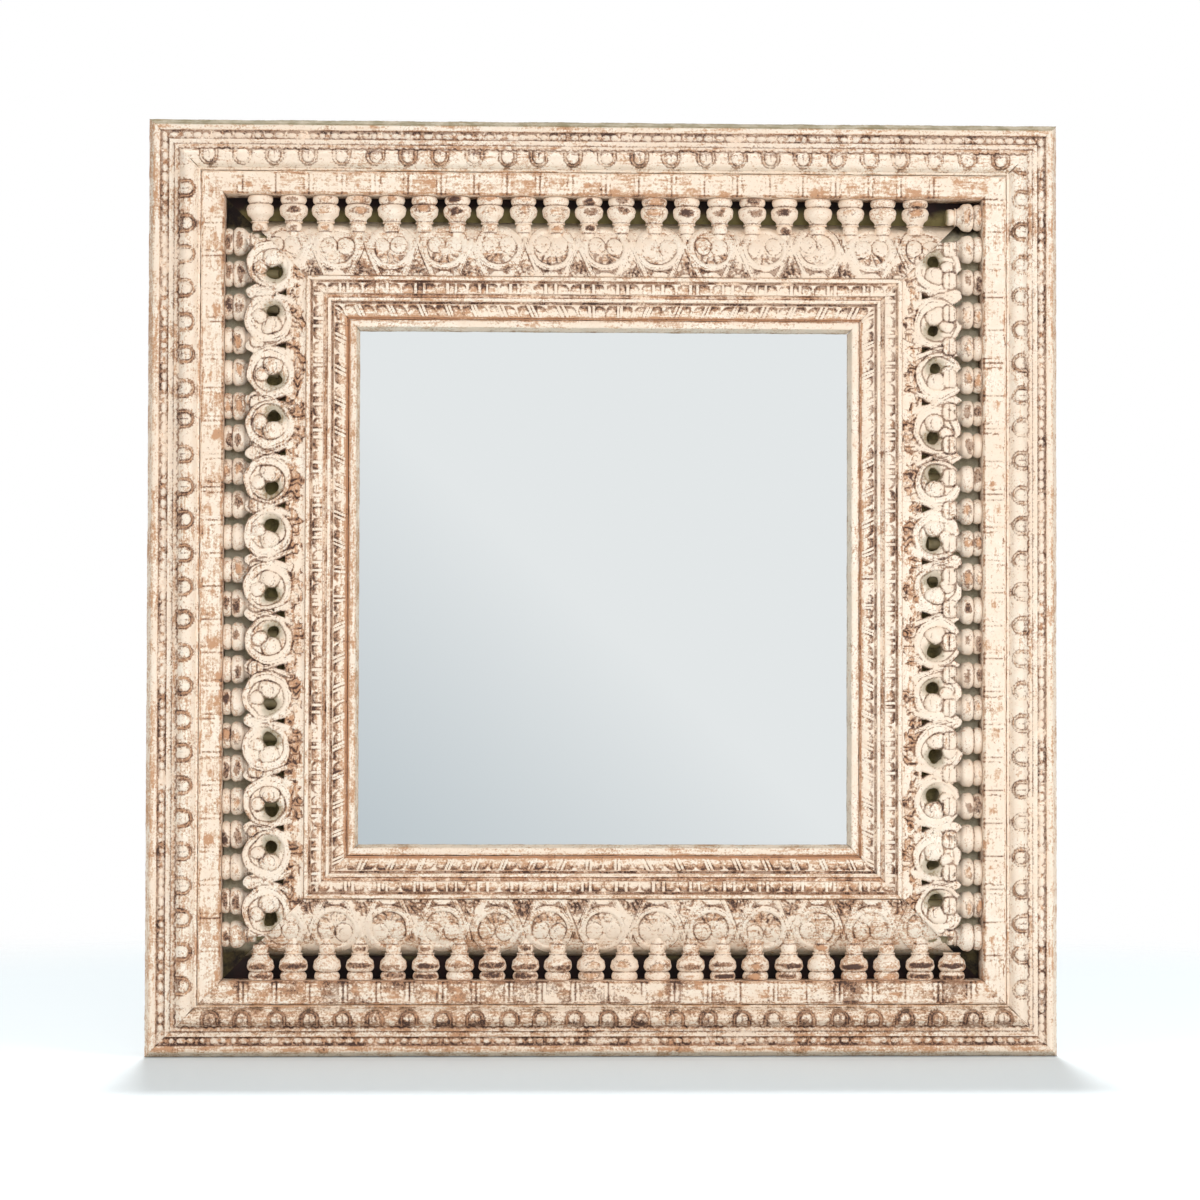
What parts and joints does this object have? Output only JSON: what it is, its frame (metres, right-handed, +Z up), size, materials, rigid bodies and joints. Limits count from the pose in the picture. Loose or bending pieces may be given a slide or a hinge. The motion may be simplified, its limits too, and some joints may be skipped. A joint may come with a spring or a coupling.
{
  "type": "wall mirror",
  "caption": "Square wall mirror in a wide carved wooden frame: egg-and-dart edge, plinth blocks, gallery of turned balusters, scroll panels and an arcaded inner moulding.",
  "frame": {"origin": "middle of the frame on the wall's plane, which the backs of the corner bumpers touch", "axes": "+Z up, the mirror faces -Y, and +Y goes into the wall"},
  "size_m": [0.914, 0.0911, 0.938],
  "materials": {
    "distressed_paint": "carved wood in antique cream paint, rubbed to tan at the edges and dark in the hollows",
    "bare_wood": "bare planed wood",
    "mirror": "silvered glass",
    "backing": "plain brown hardboard",
    "steel": "zinc-plated steel",
    "felt": "dark soft bumper"
  },
  "bodies": {
    "frame": {"back_rail_bottom": "bare_wood", "back_rail_left": "bare_wood", "back_rail_right": "bare_wood", "back_rail_screws": "steel", "back_rail_top": "bare_wood", "backing_board": "backing", "balusters_bottom": "distressed_paint", "balusters_left": "distressed_paint", "balusters_right": "distressed_paint", "balusters_top": "distressed_paint", "block_rail_bottom": "distressed_paint", "block_rail_left": "distressed_paint", "block_rail_right": "distressed_paint", "block_rail_top": "distressed_paint", "brace_screws": "steel", "corner_brace_bottom_left": "bare_wood", "corner_brace_bottom_right": "bare_wood", "corner_brace_top_left": "bare_wood", "corner_brace_top_right": "bare_wood", "gallery_board_bottom": "bare_wood", "gallery_board_left": "bare_wood", "gallery_board_right": "bare_wood", "gallery_board_top": "bare_wood", "glazing_strip_bottom": "bare_wood", "glazing_strip_left": "bare_wood", "glazing_strip_right": "bare_wood", "glazing_strip_top": "bare_wood", "hanger_plate_left": "steel", "hanger_plate_right": "steel", "hanger_screws": "steel", "inner_moulding_bottom": "distressed_paint", "inner_moulding_left": "distressed_paint", "inner_moulding_right": "distressed_paint", "inner_moulding_top": "distressed_paint", "inner_rail_bottom": "bare_wood", "inner_rail_left": "bare_wood", "inner_rail_right": "bare_wood", "inner_rail_screws": "steel", "inner_rail_top": "bare_wood", "mirror_glass": "mirror", "outer_moulding_bottom": "distressed_paint", "outer_moulding_left": "distressed_paint", "outer_moulding_right": "distressed_paint", "outer_moulding_top": "distressed_paint", "scroll_panel_bottom": "distressed_paint", "scroll_panel_left": "distressed_paint", "scroll_panel_right": "distressed_paint", "scroll_panel_top": "distressed_paint", "sight_bead_bottom": "distressed_paint", "sight_bead_left": "distressed_paint", "sight_bead_right": "distressed_paint", "sight_bead_top": "distressed_paint", "wall_bumpers": "felt"},
    "ring_left": {"hanger_ring_left": "steel"},
    "ring_right": {"hanger_ring_right": "steel"}
  },
  "joints": [
    {"name": "ring_left_swing", "type": "hinge", "parent": "frame", "child": "ring_left", "pos_m": [-0.42, -0.00322, 0.25], "axis": [1, 0, 0], "range_deg": [0, 170]},
    {"name": "ring_right_swing", "type": "hinge", "parent": "frame", "child": "ring_right", "pos_m": [0.42, -0.00322, 0.25], "axis": [1, 0, 0], "range_deg": [0, 170]}
  ]
}
